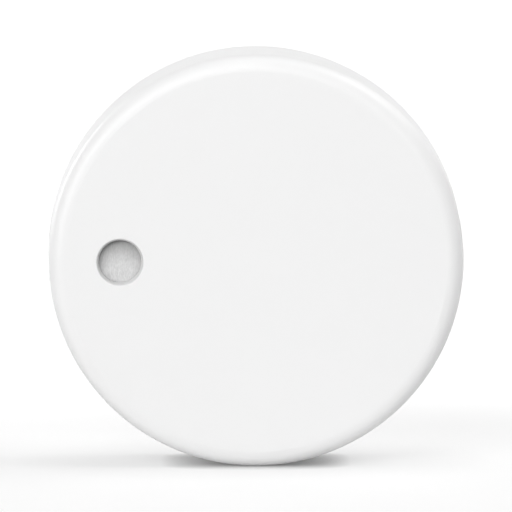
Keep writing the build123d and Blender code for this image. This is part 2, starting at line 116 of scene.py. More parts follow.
def linear(code):
    """Linear colour from an sRGB hex value."""
    parts = [int(code[i:i + 2], 16) / 255 for i in (1, 3, 5)]
    return tuple(c / 12.92 if c <= 0.04045 else ((c + 0.055) / 1.055) ** 2.4 for c in parts) + (1.0,)


def add(tree, kind, inputs=None, **settings):
    """Adds a node of that kind; inputs takes values or other nodes' sockets by name or number."""
    node = tree.nodes.new(kind)
    for name, value in settings.items():
        setattr(node, name, value)
    for name, value in (inputs or {}).items():
        if isinstance(value, bpy.types.NodeSocket):
            tree.links.new(value, node.inputs[name])
        else:
            node.inputs[name].default_value = value
    return node


def finish(name, colour, **sockets):
    """New material with a Principled shader of that colour.

    Returns the material, its node tree, the shader and the socket of the Object coordinates.
    """
    material = bpy.data.materials.new(name)
    material.use_nodes = True
    tree = material.node_tree
    tree.nodes.clear()
    shader = add(tree, "ShaderNodeBsdfPrincipled", {"Base Color": linear(colour), **sockets})
    add(tree, "ShaderNodeOutputMaterial", {"Surface": shader.outputs[0]})
    return material, tree, shader, add(tree, "ShaderNodeTexCoord").outputs["Object"]


def drive(shader, sockets):
    """Links a node's socket to each of the shader's inputs that are named."""
    for name, socket in sockets.items():
        shader.id_data.links.new(socket, shader.inputs[name])


def moulded_plastic(name, colour, roughness, grain_mm=0.12, bump=0.06):
    """Injection-moulded plastic: a fine spark-eroded grain from the mould, which only softens the gloss."""
    material, tree, shader, where = finish(name, colour, Roughness=roughness, IOR=1.49)
    grain = add(tree, "ShaderNodeTexNoise", {"Vector": where, "Scale": 1 / (grain_mm * MM), "Detail": 3.0})
    relief = add(tree, "ShaderNodeBump", {"Height": grain.outputs[0], "Strength": bump, "Distance": 0.02 * MM})
    drive(shader, {"Normal": relief.outputs[0]})
    return material


def speckled(name, colour, spot_colour, roughness, spot_mm, bump=0.1, depth_mm=0.01, **sockets):
    """Surface of two tones: a noise of that grain picks the second tone, and lifts the surface by depth_mm."""
    material, tree, shader, where = finish(name, colour, Roughness=roughness, **sockets)
    grain = add(tree, "ShaderNodeTexNoise", {"Vector": where, "Scale": 1 / (spot_mm * MM), "Detail": 4.0})
    tones = add(tree, "ShaderNodeValToRGB", {"Fac": grain.outputs[0]})
    for stop, level, tone in zip(tones.color_ramp.elements, (0.45, 0.6), (colour, spot_colour)):
        stop.position, stop.color = level, linear(tone)
    relief = add(tree, "ShaderNodeBump", {"Height": grain.outputs[0], "Strength": bump, "Distance": depth_mm * MM})
    drive(shader, {"Base Color": tones.outputs[0], "Normal": relief.outputs[0]})
    return material


def rolled_metal(name, colour, roughness, line_mm=0.12, along=(1.0, 1.0, 1.0), bump=0.03):
    """Strip or drawn sheet: fine lines left by the rolls or the die, stretched by the three factors of along."""
    material, tree, shader, where = finish(name, colour, Metallic=1.0, Roughness=roughness)
    stretched = add(tree, "ShaderNodeMapping", {"Vector": where, "Scale": along})
    lines = add(tree, "ShaderNodeTexNoise", {
        "Vector": stretched.outputs[0], "Scale": 1 / (line_mm * MM), "Detail": 3.0})
    span = add(tree, "ShaderNodeMapRange", {
        "Value": lines.outputs[0], "From Min": 0.3, "From Max": 0.7,
        "To Min": roughness - 0.03, "To Max": roughness + 0.06})
    relief = add(tree, "ShaderNodeBump", {"Height": lines.outputs[0], "Strength": bump, "Distance": 0.01 * MM})
    drive(shader, {"Roughness": span.outputs[0], "Normal": relief.outputs[0]})
    return material


def turned_metal(name, colour, roughness, ring_mm=0.25, bump=0.1):
    """Drawn and polished can: faint rings about the puck's axis, which streak its highlights, and soft smudges."""
    material, tree, shader, where = finish(name, colour, Metallic=1.0, Roughness=roughness)
    centred = add(tree, "ShaderNodeMapping", {"Vector": where, "Location": (0.0, 0.0, -CENTRE_Z)})
    flat = add(tree, "ShaderNodeVectorMath", {0: centred.outputs[0], 1: (1.0, 0.0, 1.0)}, operation="MULTIPLY")
    radius = add(tree, "ShaderNodeVectorMath", {0: flat.outputs[0]}, operation="LENGTH")
    rings = add(tree, "ShaderNodeTexNoise", {
        "W": radius.outputs["Value"], "Scale": 1 / (ring_mm * MM), "Detail": 4.0}, noise_dimensions="1D")
    smudge = add(tree, "ShaderNodeTexNoise", {"Vector": where, "Scale": 1 / (4 * MM), "Detail": 3.0})
    both = add(tree, "ShaderNodeMath", {0: rings.outputs[0], 1: smudge.outputs[0]}, operation="ADD")
    span = add(tree, "ShaderNodeMapRange", {
        "Value": both.outputs[0], "From Min": 0.7, "From Max": 1.3,
        "To Min": roughness - 0.05, "To Max": roughness + 0.1})
    relief = add(tree, "ShaderNodeBump", {"Height": rings.outputs[0], "Strength": bump, "Distance": 0.01 * MM})
    drive(shader, {"Roughness": span.outputs[0], "Normal": relief.outputs[0]})
    return material


def fibrous_membrane():
    """Stretched PTFE on a fine fibre web: short upright fibres over soft blotches, with painted shade of the hole's
    wall, lighter towards the bottom and darkest near the rim at the top and upper left.
    """
    material, tree, shader, where = finish("membrane_ptfe_web", "#D2D2D2", Roughness=0.9)
    upright = add(tree, "ShaderNodeMapping", {
        "Vector": where, "Scale": (1.35, 1.0, 0.45), "Rotation": (0.0, 0.2, 0.0)})
    fibres = add(tree, "ShaderNodeTexNoise", {
        "Vector": upright.outputs[0], "Scale": 1 / (0.2 * MM), "Detail": 4.0, "Roughness": 0.6})
    blotches = add(tree, "ShaderNodeTexNoise", {"Vector": where, "Scale": 1 / (1.3 * MM), "Detail": 2.0})
    web = add(tree, "ShaderNodeMath", {0: fibres.outputs[0], 1: 0.8}, operation="MULTIPLY")
    both = add(tree, "ShaderNodeMath", {
        0: blotches.outputs[0], 1: 0.2, 2: web.outputs[0]}, operation="MULTIPLY_ADD")
    tones = add(tree, "ShaderNodeValToRGB", {"Fac": both.outputs[0]})
    for stop, level, tone in zip(tones.color_ramp.elements, (0.3, 0.7), ("#C4C4C4", "#DFDFDF")):
        stop.position, stop.color = level, linear(tone)
    colour = tones
    # Painted shade of the hole's wall: about a place (x, z) off the hole's axis, a tone that changes between two
    # radii
    for x, z, start, end, inside, outside in (
        (-0.1, -1.61, 0.99, 5.43, 1.09, 0.33),
        (0.33, -0.57, 2.85, 3.3, 1.0, 0.55),
    ):
        place = ((VENT_X + x) * MM, MEMBRANE_FRONT * MM, CENTRE_Z + z * MM)
        away = add(tree, "ShaderNodeVectorMath", {0: where, 1: place}, operation="SUBTRACT")
        radius = add(tree, "ShaderNodeVectorMath", {0: away.outputs[0]}, operation="LENGTH")
        painted_shade = add(tree, "ShaderNodeMapRange", {
            "Value": radius.outputs["Value"], "From Min": start * MM, "From Max": end * MM,
            "To Min": inside, "To Max": outside}, interpolation_type="SMOOTHSTEP")
        colour = add(tree, "ShaderNodeVectorMath", {
            0: colour.outputs[0], "Scale": painted_shade.outputs[0]}, operation="SCALE")
    relief = add(tree, "ShaderNodeBump", {"Height": fibres.outputs[0], "Strength": 0.35, "Distance": 0.03 * MM})
    drive(shader, {"Base Color": colour.outputs[0], "Normal": relief.outputs[0]})
    return material


def plastic_with_painted_vent_shade():
    """The case's plastic with painted shade that makes the vent hole's wall greyer."""
    material = moulded_plastic("case_abs_white_vent_painted_shade", CASE_WHITE, CASE_ROUGHNESS)
    tree = material.node_tree
    where = add(tree, "ShaderNodeTexCoord").outputs["Object"]
    centred = add(tree, "ShaderNodeVectorMath", {0: where, 1: (VENT_X * MM, 0.0, CENTRE_Z)}, operation="SUBTRACT")
    across = add(tree, "ShaderNodeVectorMath", {0: centred.outputs[0], 1: (1.0, 0.0, 1.0)}, operation="MULTIPLY")
    radius = add(tree, "ShaderNodeVectorMath", {0: across.outputs[0]}, operation="LENGTH")
    # Painted shade: nearer the hole's axis than 2.9 mm the colour drops to 0.84, rising to full at 3.0 mm
    tone = add(tree, "ShaderNodeMapRange", {
        "Value": radius.outputs["Value"], "From Min": 2.9 * MM, "From Max": 3.0 * MM,
        "To Min": 0.84, "To Max": 1.0})
    colour = add(tree, "ShaderNodeVectorMath", {
        0: linear(CASE_WHITE)[:3], "Scale": tone.outputs[0]}, operation="SCALE")
    drive(tree.nodes["Principled BSDF"], {"Base Color": colour.outputs[0]})
    return material


def masked_board():
    """Glass-epoxy board under green solder mask: glossy faces with a faint weave, bare tan laminate at its edges."""
    material, tree, shader, where = finish("board_solder_mask", "#12482F", Roughness=0.32, IOR=1.5)
    weave = add(tree, "ShaderNodeTexChecker", {"Vector": where, "Scale": 1 / (0.35 * MM)})
    blur = add(tree, "ShaderNodeTexNoise", {"Vector": where, "Scale": 1 / (0.5 * MM), "Detail": 3.0})
    depth = add(tree, "ShaderNodeMath", {
        0: weave.outputs["Fac"], 1: 0.15, 2: blur.outputs[0]}, operation="MULTIPLY_ADD")
    mask = add(tree, "ShaderNodeValToRGB", {"Fac": depth.outputs[0]})
    for stop, level, tone in zip(mask.color_ramp.elements, (0.35, 0.8), ("#0F4029", "#175338")):
        stop.position, stop.color = level, linear(tone)
    # A face is what lies nearly half the board's thickness from its middle
    middle, nearly_half = (BOARD_FRONT + BOARD_BACK) / 2, 0.395
    y = add(tree, "ShaderNodeSeparateXYZ", {0: where}).outputs[1]
    away = add(tree, "ShaderNodeMath", {0: y, 1: middle * MM}, operation="SUBTRACT")
    away = add(tree, "ShaderNodeMath", {0: away.outputs[0]}, operation="ABSOLUTE")
    face = add(tree, "ShaderNodeMath", {0: away.outputs[0], 1: nearly_half * MM}, operation="GREATER_THAN")
    colour = add(tree, "ShaderNodeMix", {
        0: face.outputs[0], 6: linear("#A8955C"), 7: mask.outputs[0]}, data_type="RGBA")
    relief = add(tree, "ShaderNodeBump", {"Height": blur.outputs[0], "Strength": 0.05, "Distance": 0.02 * MM})
    drive(shader, {"Base Color": colour.outputs[2], "Normal": relief.outputs[0]})
    return material


# What each of the record's material slots is made of, and what that gives the eye
finishes = {
    # ABS: near white, satin, with one crisp highlight along the rim
    "case_plastic": moulded_plastic("case_abs_white", CASE_WHITE, CASE_ROUGHNESS),
    "membrane": fibrous_membrane(),
    # Acrylic tape: cloudy cream with some gloss
    "adhesive": speckled("adhesive_acrylic_tape", "#D6D4CC", "#C6C4BB", 0.35, 0.8),
    # Urethane foam: black and quite matt, pitted by its open cells
    "foam": speckled("foam_urethane_black", "#2A2A2C", "#161617", 0.95, 0.22, bump=0.6, depth_mm=0.08),
    # Silicone rubber: smooth dark grey with a dull sheen
    "silicone": moulded_plastic("seal_silicone_grey", "#55585C", 0.5, grain_mm=0.3, bump=0.03),
    "board": masked_board(),
    # Gold plate over copper: warm and bright, with the finest lines
    "copper": rolled_metal("antenna_gold_plate", "#D9B066", 0.3, line_mm=0.08),
    # Epoxy filled with silica: charcoal, matt, with a grain as fine as sand
    "chip_epoxy": speckled("chip_epoxy_black", "#202124", "#2B2C30", 0.6, 0.06, bump=0.25),
    # Nickel lid: cool grey, its lines upright; iron-nickel lids: warmer and glossier, their lines across
    "sensor_lid": rolled_metal("sensor_nickel_lid", "#B8B6AF", 0.28, along=(1.0, 1.0, 0.15)),
    "crystal_lid": rolled_metal("crystal_iron_nickel_lid", "#C4BFB0", 0.24, along=(0.15, 1.0, 1.0)),
    # Cast epoxy: smooth and glossy, tinted in the light's colour
    "red_lens": moulded_plastic("light_epoxy_red", "#D9605A", 0.15, grain_mm=0.4, bump=0.02),
    "green_lens": moulded_plastic("light_epoxy_green", "#B4D9A6", 0.15, grain_mm=0.4, bump=0.02),
    # Fired titanate: tan, faintly mottled; glaze over a resistor: black gloss
    "capacitor_ceramic": speckled("capacitor_titanate_tan", "#9C7A52", "#8A6A45", 0.45, 0.1),
    "resistor_ceramic": speckled("resistor_glaze_black", "#1B1B1E", "#26262A", 0.3, 0.12),
    # Nylon: black, satin, with a grain that breaks up its highlights
    "holder_plastic": moulded_plastic("holder_nylon_black", "#232326", 0.5, grain_mm=0.1, bump=0.12),
    # Nickel-plated strip: bright, with long lines along the spring
    "spring_steel": rolled_metal(
        "contact_nickel_strip", "#C9C5BA", 0.3, line_mm=0.25, along=(0.12, 1.0, 1.0), bump=0.004),
    # Nickel-plated can: the brightest metal here, its highlights drawn into rings
    "cell_steel": turned_metal("cell_nickel_steel", "#CFCDC8", 0.22),
    # Polypropylene: milky and dull
    "cell_seal": moulded_plastic("cell_gasket_polypropylene", "#DAD9D4", 0.5),
    # Pressed oxide powder: sooty and rough
    "pellet": speckled("pellet_manganese_dioxide", "#1E1E1E", "#2E2D2C", 0.9, 0.15, bump=0.5, depth_mm=0.04),
    # Glass-fibre paper: off-white, matt and fluffy
    "separator_paper": speckled("separator_glass_paper", "#E9E8E2", "#D9D7CF", 0.95, 0.3, bump=0.3, depth_mm=0.03),
    # Rolled lithium: soft grey metal without a mirror
    "lithium": rolled_metal("lithium_rolled_foil", "#B7B9BE", 0.5, line_mm=0.3, bump=0.2),
    # Nylon again, blacker; tinned steel: grey and bright, its lines upright; acetal: cream and a little waxy
    "switch_plastic": moulded_plastic("switch_nylon_black", "#1D1D1F", 0.45, grain_mm=0.08, bump=0.1),
    "switch_steel": rolled_metal("switch_tin_steel", "#BFBDB6", 0.3, along=(1.0, 1.0, 0.15)),
    "button_plastic": moulded_plastic("button_acetal_cream", "#DDDACF", 0.4, grain_mm=0.1, bump=0.08),
}
# Finishes of pieces that only the scene has: bright reflowed solder, mask that copper makes paler, chalky board ink
solder_tin = speckled("solder_tin_silver", "#C9CACB", "#B9BABC", 0.28, 0.2, bump=0.15, Metallic=1.0)
mask_over_copper = moulded_plastic("mask_over_copper", "#1F6A48", 0.3, grain_mm=0.4, bump=0.03)
board_ink = speckled("board_ink_white", "#E8E8E2", "#D8D8D1", 0.6, 0.15)

for row in frame["record"]["subparts"]:
    node = frame["nodes"][row["node"]]
    node.data.materials.clear()
    node.data.materials.append(finishes[row["material_slot"]])


# Tools for the new pieces: each shape is an array of points (u, v, 3)

def skin(name, grids, closed_u=True, closed_v=False):
    """One object of quads over grids of points; a closed direction joins its last row to its first."""
    points, quads, start = [], [], 0
    for grid in grids:
        rows, columns = grid.shape[:2]
        index = start + np.arange(rows * columns).reshape(rows, columns)
        if closed_u:
            index = np.vstack([index, index[:1]])
        if closed_v:
            index = np.hstack([index, index[:, :1]])
        corners = [index[:-1, :-1], index[1:, :-1], index[1:, 1:], index[:-1, 1:]]
        quads.append(np.stack(corners, -1).reshape(-1, 4))
        points.append(grid.reshape(-1, 3))
        start += rows * columns
    mesh = bpy.data.meshes.new(name)
    mesh.from_pydata(np.concatenate(points) * MM, [], np.concatenate(quads))
    mesh.validate()
    clean = bmesh.new()
    clean.from_mesh(mesh)
    bmesh.ops.remove_doubles(clean, verts=clean.verts, dist=1e-7)
    bmesh.ops.recalc_face_normals(clean, faces=clean.faces)
    clean.to_mesh(mesh)
    clean.free()
    mesh.polygons.foreach_set("use_smooth", np.ones(len(mesh.polygons), bool))
    return put(name, mesh)


def dress(thing, body, slot, *nodes, material=None):
    """Gives a new piece its body and its own material or the slot's finish, and hides the CAD nodes that it stands
    for.
    """
    thing.data.materials.clear()
    thing.data.materials.append(material or finishes[slot])
    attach(thing, body)
    if nodes:
        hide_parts(*nodes)
    return thing


def about(x, profile, steps, z=0.0, wobble=None):
    """Surface of revolution: a profile of (radius, y) carried in that many steps round a line along Y at (x, z).

    The points are x + r cos(a), y and AXIS_Z + z + r sin(a), where wobble(r, a) may be added to y.
    """
    r, y = np.asarray(profile, float).T
    a = np.arange(steps)[:, None] * 2 * np.pi / steps
    r, y = np.broadcast_arrays(r, y + 0 * a)
    if wobble is not None:
        y = y + wobble(r, a)
    return np.stack([x + r * np.cos(a), y, AXIS_Z + z + r * np.sin(a)], -1)


def rounded(inner, outer, low, high, power, steps=40):
    """Closed profile of a soft ring: a superellipse of that power between two radii and two places along Y."""
    t = np.arange(steps) * 2 * np.pi / steps
    c, s = np.cos(t), np.sin(t)
    r = (inner + outer) / 2 + (outer - inner) / 2 * np.sign(c) * np.abs(c) ** (2 / power)
    y = (low + high) / 2 + (high - low) / 2 * np.sign(s) * np.abs(s) ** (2 / power)
    return np.stack([r, y], -1)


def polar(r, degrees):
    """Place across the puck, from its middle: (r cos a, r sin a)."""
    a = np.radians(degrees)
    return np.stack([r * np.cos(a), r * np.sin(a)], -1)


def track(stops, width, y, rise, round_the_axis=False, per_leg=14):
    """Flat strip along a path on the board: a low four-sided tube whose two ends are closed.

    The stops are (x, z) places joined by straight legs or, round the axis, (radius, angle) places joined by legs on
    which both change evenly, so that a leg of one radius is an arc. Across the path the tube's corners are
    (-w/2, 0), (-w/2 + h, h), (w/2 - h, h) and (w/2, 0).
    """
    stops = np.asarray(stops, float)
    if round_the_axis:
        s = np.linspace(0, len(stops) - 1, (len(stops) - 1) * per_leg + 1)
        line = polar(np.interp(s, range(len(stops)), stops[:, 0]), np.interp(s, range(len(stops)), stops[:, 1]))
    else:
        line = stops
    along = np.gradient(line, axis=0)
    along /= np.linalg.norm(along, axis=1, keepdims=True)
    side = np.stack([-along[:, 1], along[:, 0]], -1)
    # A bend of the path widens the tube there by one over the cosine of half the turn, at most 1.8 times
    leg = np.diff(line, axis=0)
    leg /= np.linalg.norm(leg, axis=1, keepdims=True)
    turn = np.ones(len(line))
    turn[1:-1] = np.sqrt(np.clip((1 + (leg[:-1] * leg[1:]).sum(1)) / 2, 0.3, 1))
    bevel = min(abs(rise), width / 4)
    across = np.array([-width / 2, -width / 2 + bevel, width / 2 - bevel, width / 2])
    flat = line[:, None] + side[:, None] * across[None, :, None] / turn[:, None, None]
    level = y + np.array([0, rise, rise, 0]) + 0 * flat[..., 0]
    grid = np.stack([flat[..., 0], level, AXIS_Z + flat[..., 1]], -1)
    ends = np.repeat(grid[[0, -1]].mean(1, keepdims=True), 4, 1)
    return np.concatenate([ends[:1], grid, ends[1:]])


def button_of(x, z, y, radius, rise, steps=20, bore=0.0):
    """Low round pad with a softened rim, solid or bored: a profile of (radius, y) turned about (x, z)."""
    soft = min(abs(rise), radius / 4)
    top = y + rise
    profile = [(radius, y), (radius, top - soft * np.sign(rise)), (radius - soft, top), (bore, top), (bore, y)]
    return about(x, profile, steps, z)


def block(x, z, y, size, turn, softness, steps=(28, 15)):
    """Small box with rounded edges, centred at (x, y, z) and turned about Y: a superellipsoid.

    Each half size is multiplied by a signed power, softness, of the cosines and sines of longitude and latitude.
    """
    def power(t):
        return np.sign(t) * np.abs(np.round(t, 9)) ** softness

    u = np.arange(steps[0])[:, None] * 2 * np.pi / steps[0]
    v = np.linspace(-np.pi / 2, np.pi / 2, steps[1])[None, :]
    across = size[0] / 2 * power(np.cos(u)) * power(np.cos(v))
    length = size[1] / 2 * power(np.sin(u)) * power(np.cos(v))
    deep = size[2] / 2 * power(np.sin(v)) + 0 * u
    c, s = np.cos(np.radians(turn)), np.sin(np.radians(turn))
    return np.stack([x + c * across - s * length, y + deep, AXIS_Z + z + s * across + c * length], -1)


def fillet_of(x, z, y, facing, width, rise, reach, steps=(12, 9)):
    """Solder drawn up the end of a terminal: height = rise (1 - s)^2 (1 - t^4), with s outwards and t across.

    (x, z) is the middle of the terminal's foot, facing the direction in degrees in which the solder runs out, and
    rise is towards +y or -y. The lower side lies flat on the board, so each fillet is closed.
    """
    s = np.linspace(0, 1, steps[0])
    t = np.linspace(-1, 1, steps[1])[:, None]
    top = rise * (1 - s) ** 2 * (1 - t ** 4)
    out = np.concatenate([s + 0 * t, s[::-1] + 0 * t], 1) * reach
    level = np.concatenate([top, 0 * top], 1)
    along = polar(1.0, facing)
    side = np.array([-along[1], along[0]])
    wide = t * width / 2 * (1 + 0.25 * out / reach)
    return np.stack([
        x + along[0] * out + side[0] * wide, y + level, AXIS_Z + z + along[1] * out + side[1] * wide], -1)


# The vent

def flare_vent():
    """Front cover whose vent hole opens towards the face, by the draft of the pin that moulded it.

    In a copy of the CAD cover each point of the hole's wall keeps its angle about the hole's axis, and its radius and
    its place along Y follow VENT_WALL. The wall's normals stand square to that line.
    """
    was, depth, radius = np.array(VENT_WALL).T
    mesh = frame["nodes"]["front_cover"].data.copy()
    points = np.empty(len(mesh.vertices) * 3)
    mesh.vertices.foreach_get("co", points)
    points = points.reshape(-1, 3) / MM
    y = points[:, 1].copy()
    out = points[:, [0, 2]] - (VENT_X, AXIS_Z)
    reach = np.hypot(out[:, 0], out[:, 1])
    out /= reach[:, None]
    wall = (reach < VENT_REACH) & (y < VENT_FOOT)
    flared = np.interp(y[wall], was, radius)
    points[wall, 0] = VENT_X + out[wall, 0] * flared
    points[wall, 2] = AXIS_Z + out[wall, 1] * flared
    points[wall, 1] = np.interp(y[wall], was, depth)

    corner, normals = np.empty(len(mesh.loops), int), np.empty(len(mesh.loops) * 3)
    mesh.loops.foreach_get("vertex_index", corner)
    mesh.corner_normals.foreach_get("vector", normals)
    normals = normals.reshape(-1, 3)
    triangle = corner.reshape(-1, 3)
    on_wall = np.repeat(wall[triangle].all(1), 3)
    hair = 0.01
    at_mouth = np.repeat((y[triangle] < was[0] + hair).any(1), 3)
    for chosen, leg in ((on_wall & at_mouth, 0), (on_wall & ~at_mouth, 1)):
        along, inwards = radius[leg + 1] - radius[leg], depth[leg + 1] - depth[leg]
        side = out[corner[chosen]]
        square = np.stack([-side[:, 0] * inwards, np.full(len(side), along), -side[:, 1] * inwards], -1)
        normals[chosen] = square / np.hypot(along, inwards)

    mesh.vertices.foreach_set("co", (points * MM).ravel())
    mesh.update()
    mesh.normals_split_custom_set(normals)
    dress(put("front_cover_drafted", mesh), "housing", "case_plastic", "front_cover", material=plastic_with_painted_vent_shade())


def fibre_relief(r, a):
    """Height of the membrane's web: waves across the fibres, their phase drifting along them, fading at the rim."""
    x, z = r * np.cos(a), r * np.sin(a)
    waves = ((1, 5.1), (2, 9.7), (3, 16.3))
    web = sum(np.sin(k * x + 0.9 * np.sin(0.7 * z + k) + k * k) / n for n, k in waves)
    slow = np.sin(1.1 * x + 0.6 * z + 1.0) + np.sin(0.8 * z - 1.3 * x)
    return (0.012 * web + 0.012 * slow - 0.03) * np.clip((MEMBRANE_RADIUS - r) / 0.8, 0, 1)


def form_membrane():
    """Breathable membrane: a thin disc whose front dips and ripples by a few hundredths of a millimetre."""
    rings, steps = 48, 160
    radii = np.linspace(0, MEMBRANE_RADIUS, rings)
    front = np.stack([radii, np.full_like(radii, MEMBRANE_FRONT + 0.01)], -1)
    back = np.stack([radii[::-1], np.full_like(radii, FRONT_INSIDE)], -1)
    faces = [about(VENT_X, front, steps, wobble=lambda r, a: -fibre_relief(r, a)), about(VENT_X, back, steps)]
    dress(skin("vent_membrane_web", [np.concatenate(faces, 1)]), "housing", "membrane", "vent_membrane")


def form_soft_parts():
    """Foam round the sensor, foam pad behind the cell and the silicone seal, with the bulging edges of soft goods."""
    section = rounded(inner=3.5, outer=5.0, low=FRONT_INSIDE, high=BOARD_FRONT, power=3.2)
    ring = skin("sensor_foam_ring", [about(VENT_X, section, 96)], closed_v=True)
    dress(ring, "housing", "foam", "sensor_gasket")

    # The pad's edge is the outer half of a soft ring, in order from the cell's side to the cover's
    inner, outer, middle, thickness = 6.8, 8.0, 7.4, 0.5
    edge = rounded(inner, outer, CELL_BACK, CELL_BACK + thickness, power=2.6, steps=24)
    edge = edge[np.argsort(np.arctan2(edge[:, 1] - CELL_BACK - thickness / 2, edge[:, 0] - middle))]
    edge = edge[edge[:, 0] >= middle]
    profile = np.concatenate([[[0, CELL_BACK]], edge, [[0, CELL_BACK + thickness]]])
    pad = skin("cell_foam_pad", [about(0, profile, 96)])
    dress(pad, "back_cover", "foam", "foam_pad")

    section = rounded(inner=23.47, outer=24.35, low=1.63, high=2.77, power=2.4, steps=32)
    seal = skin("seal_ring_round", [about(0, section, 240)], closed_v=True)
    dress(seal, "back_cover", "silicone", "seal_ring")


# Details of the board, the cell and the cover

def both_ends(x, z, turn, length, width, height, side):
    """End caps and solder of a two-terminal component whose length lies along turn, on that side of the board."""
    y = BOARD_BACK if side > 0 else BOARD_FRONT
    cap = 0.25 * length if length < 2 else 0.18 * length
    tin = 0.03
    size = (cap + tin, width + tin, height + tin)
    reach = 0.35 * min(height, 0.9) + 0.1
    caps, joints = [], []
    for facing in (turn, turn + 180):
        out = polar(length / 2 - cap / 2, facing)
        foot = polar(length / 2, facing)
        caps.append(block(x + out[0], z + out[1], y + side * height / 2, size, turn, 0.16))
        joints.append(fillet_of(x + foot[0], z + foot[1], y, facing, width * 0.95, side * height * 0.6, reach))
    return caps, joints


def fit_terminals():
    """Tinned end caps and solder joints of everything soldered to the board."""
    rows = [(RADIO[0] + dx, RADIO[1] + dz, 0.0, *SMALL_CAPACITOR, -1) for dx in (-2, 0, 2) for dz in (-5, 5)]
    rows += [(MOTION[0] + dx, MOTION[1], 90.0, *SMALL_CAPACITOR, -1) for dx in (-2, 2)]
    rows += [(*polar(LIGHT_RESISTOR_RADIUS, a), 0.0, *SMALL_RESISTOR, -1) for a in LIGHT_ANGLES]
    rows += [(*polar(BAY_RADIUS, a + b), a + b + 90, *SMALL_RESISTOR, 1) for a in SWITCH_ANGLES for b in (-12, 12)]
    rows += [(*polar(BAY_RADIUS, BULK_ANGLE), BULK_ANGLE + 90, *BULK_CAPACITOR, 1)]
    caps, joints = [], []
    for row in rows:
        more_caps, more_joints = both_ends(*row)
        caps += more_caps
        joints += more_joints

    # Front: two ends of each light, four pads of each crystal, ten pads on each side of the radio
    for x, z in (polar(LIGHT_RADIUS, a) for a in LIGHT_ANGLES):
        joints += [fillet_of(x + s * 0.8, z, BOARD_FRONT, 0 if s > 0 else 180, 0.7, -0.2, 0.3) for s in (-1, 1)]
    for x, z in (MAIN_CRYSTAL, CLOCK_CRYSTAL):
        joints += [fillet_of(x + s * CRYSTAL_LENGTH / 2, z + d, BOARD_FRONT, 0 if s > 0 else 180, 0.7, -0.25, 0.3)
                   for s in (-1, 1) for d in (-0.5, 0.5)]
    for facing in (0, 90, 180, 270):
        for step in np.linspace(-2.4, 2.4, 10):
            x, z = RADIO + polar(3.0, facing) + polar(step, facing + 90)
            joints.append(fillet_of(x, z, BOARD_FRONT, facing, 0.26, -0.18, 0.25, (7, 5)))

    # Back: four feet of each switch, then the foot and the two tabs of the cell's side contact
    for a in SWITCH_ANGLES:
        for reach, way in ((1.75, 0), (-1.75, 180)):
            for step in (-0.6, 0.6):
                foot = polar(BAY_RADIUS + reach, a) + polar(step, a + 90)
                joints.append(fillet_of(*foot, BOARD_BACK, a + way, 0.8, 0.4, 0.45))
    joints.append(fillet_of(16.575, 0, BOARD_BACK, 0, 3.6, 0.22, 0.6))
    joints += [fillet_of(15.6, 2.0 * s, BOARD_BACK, 90 * s, 1.4, 0.22, 0.45) for s in (1, -1)]

    dress(skin("component_end_caps", caps), "housing", "switch_steel")
    solder = skin("solder_joints", joints, closed_u=False, closed_v=True)
    dress(solder, "housing", "switch_steel", material=solder_tin)


def draw_tracks():
    """Copper under the mask on both sides, its plated holes, and the bare gold pads of the programming row."""
    outer, pitch = 20.55, 0.32
    back, front = [], []

    def behind(stops, width=0.2, per_leg=14):
        back.append(track(stops, width, BOARD_BACK, TRACK_RISE, True, per_leg))

    def before(stops):
        front.append(track(stops, 0.15, BOARD_FRONT, -TRACK_RISE))

    # Back: three arcs side by side along the rim, the switches' tracks, the programming row's, and three wide ones
    for start, end in ((48, 96), (-22, 22), (150, 208), (222, 262), (278, 318)):
        for n in range(3):
            behind([(outer - pitch * n, start + 2 * n), (outer - pitch * n, end - 2 * n)], 0.16, 30)
    for a in SWITCH_ANGLES:
        for b in (-7, 7):
            behind([(19.4, a + b), (20.3, a + b * 1.3), (20.3, a + b * 2.2)])
        for way in (1, -1):
            behind([(BAY_RADIUS, a + way * 10.2), (BAY_RADIUS, a + way * 8.0), (16.2, a + way * 8.0)])
    for n in range(6):
        behind([(14.6, 238 + 4 * n), (15.3, 240 + 4 * n), (16.9, 240 + 4 * n)])
    behind([(15.0, 160), (16.4, 170), (16.4, 196), (15.0, 204)], 0.4, 20)
    behind([(17.0, 12), (18.4, 14), (18.4, 18)], 0.6)
    behind([(15.53, 102), (14.4, 101), (14.4, 92)], 0.5)

    # Front: a bus from the radio to the left, then the crystals' tracks and those that leave the radio down and up
    for n in range(8):
        low = -2.4 + 0.69 * n
        high = 0.6 + 0.69 * n
        before([(2.2, low), (0.6 - 0.15 * n, low), (-2.4 - 0.5 * n, high), (-9.5, high)])
    for n in range(4):
        x = 3.4 + 0.7 * n
        before([(8.8, 0.9 + 0.5 * n), (9.6, 0.9 + 0.5 * n)])
        before([(8.8, -1.2 - 0.5 * n), (9.6, -1.2 - 0.5 * n)])
        before([(x, -3.3), (x, -8 - n), (2.4 + 0.7 * n, -9 - n), (2.4 + 0.7 * n, -17)])
        before([(x, 3.3), (x, 8 + n), (2.0 - n, 9.4 + 2.4 * n)])
    tracks = skin("board_tracks", back + front, closed_u=False, closed_v=True)
    dress(tracks, "housing", "board", material=mask_over_copper)

    # Holes along the rim between the ribs and the antenna, then at the ends of the tracks, as (radius, angle)
    holes = [(outer + 0.55, a) for a in range(4, 360, 6) if min(a % 60, 60 - a % 60) > 10 and not 260 < a < 280]
    holes += [(20.3, a + b * 2.2) for a in SWITCH_ANGLES for b in (-7, 7)]
    holes += [(16.2, a + b) for a in SWITCH_ANGLES for b in (-8, 8)]
    holes += [(14.6, 238 + 4 * n) for n in range(6)]
    rings = [button_of(*polar(*hole), y, 0.28, rise, 14, bore=0.1)
             for y, rise in ((BOARD_BACK, PAD_RISE), (BOARD_FRONT, -PAD_RISE)) for hole in holes]
    dress(skin("board_plated_holes", rings, closed_v=True), "housing", "board", material=mask_over_copper)

    pads = [button_of(*polar(17.4, 240 + 4 * n), BOARD_BACK, 0.5, PAD_RISE, 24) for n in range(6)]
    dress(skin("programming_pads", pads, closed_v=True), "housing", "copper")


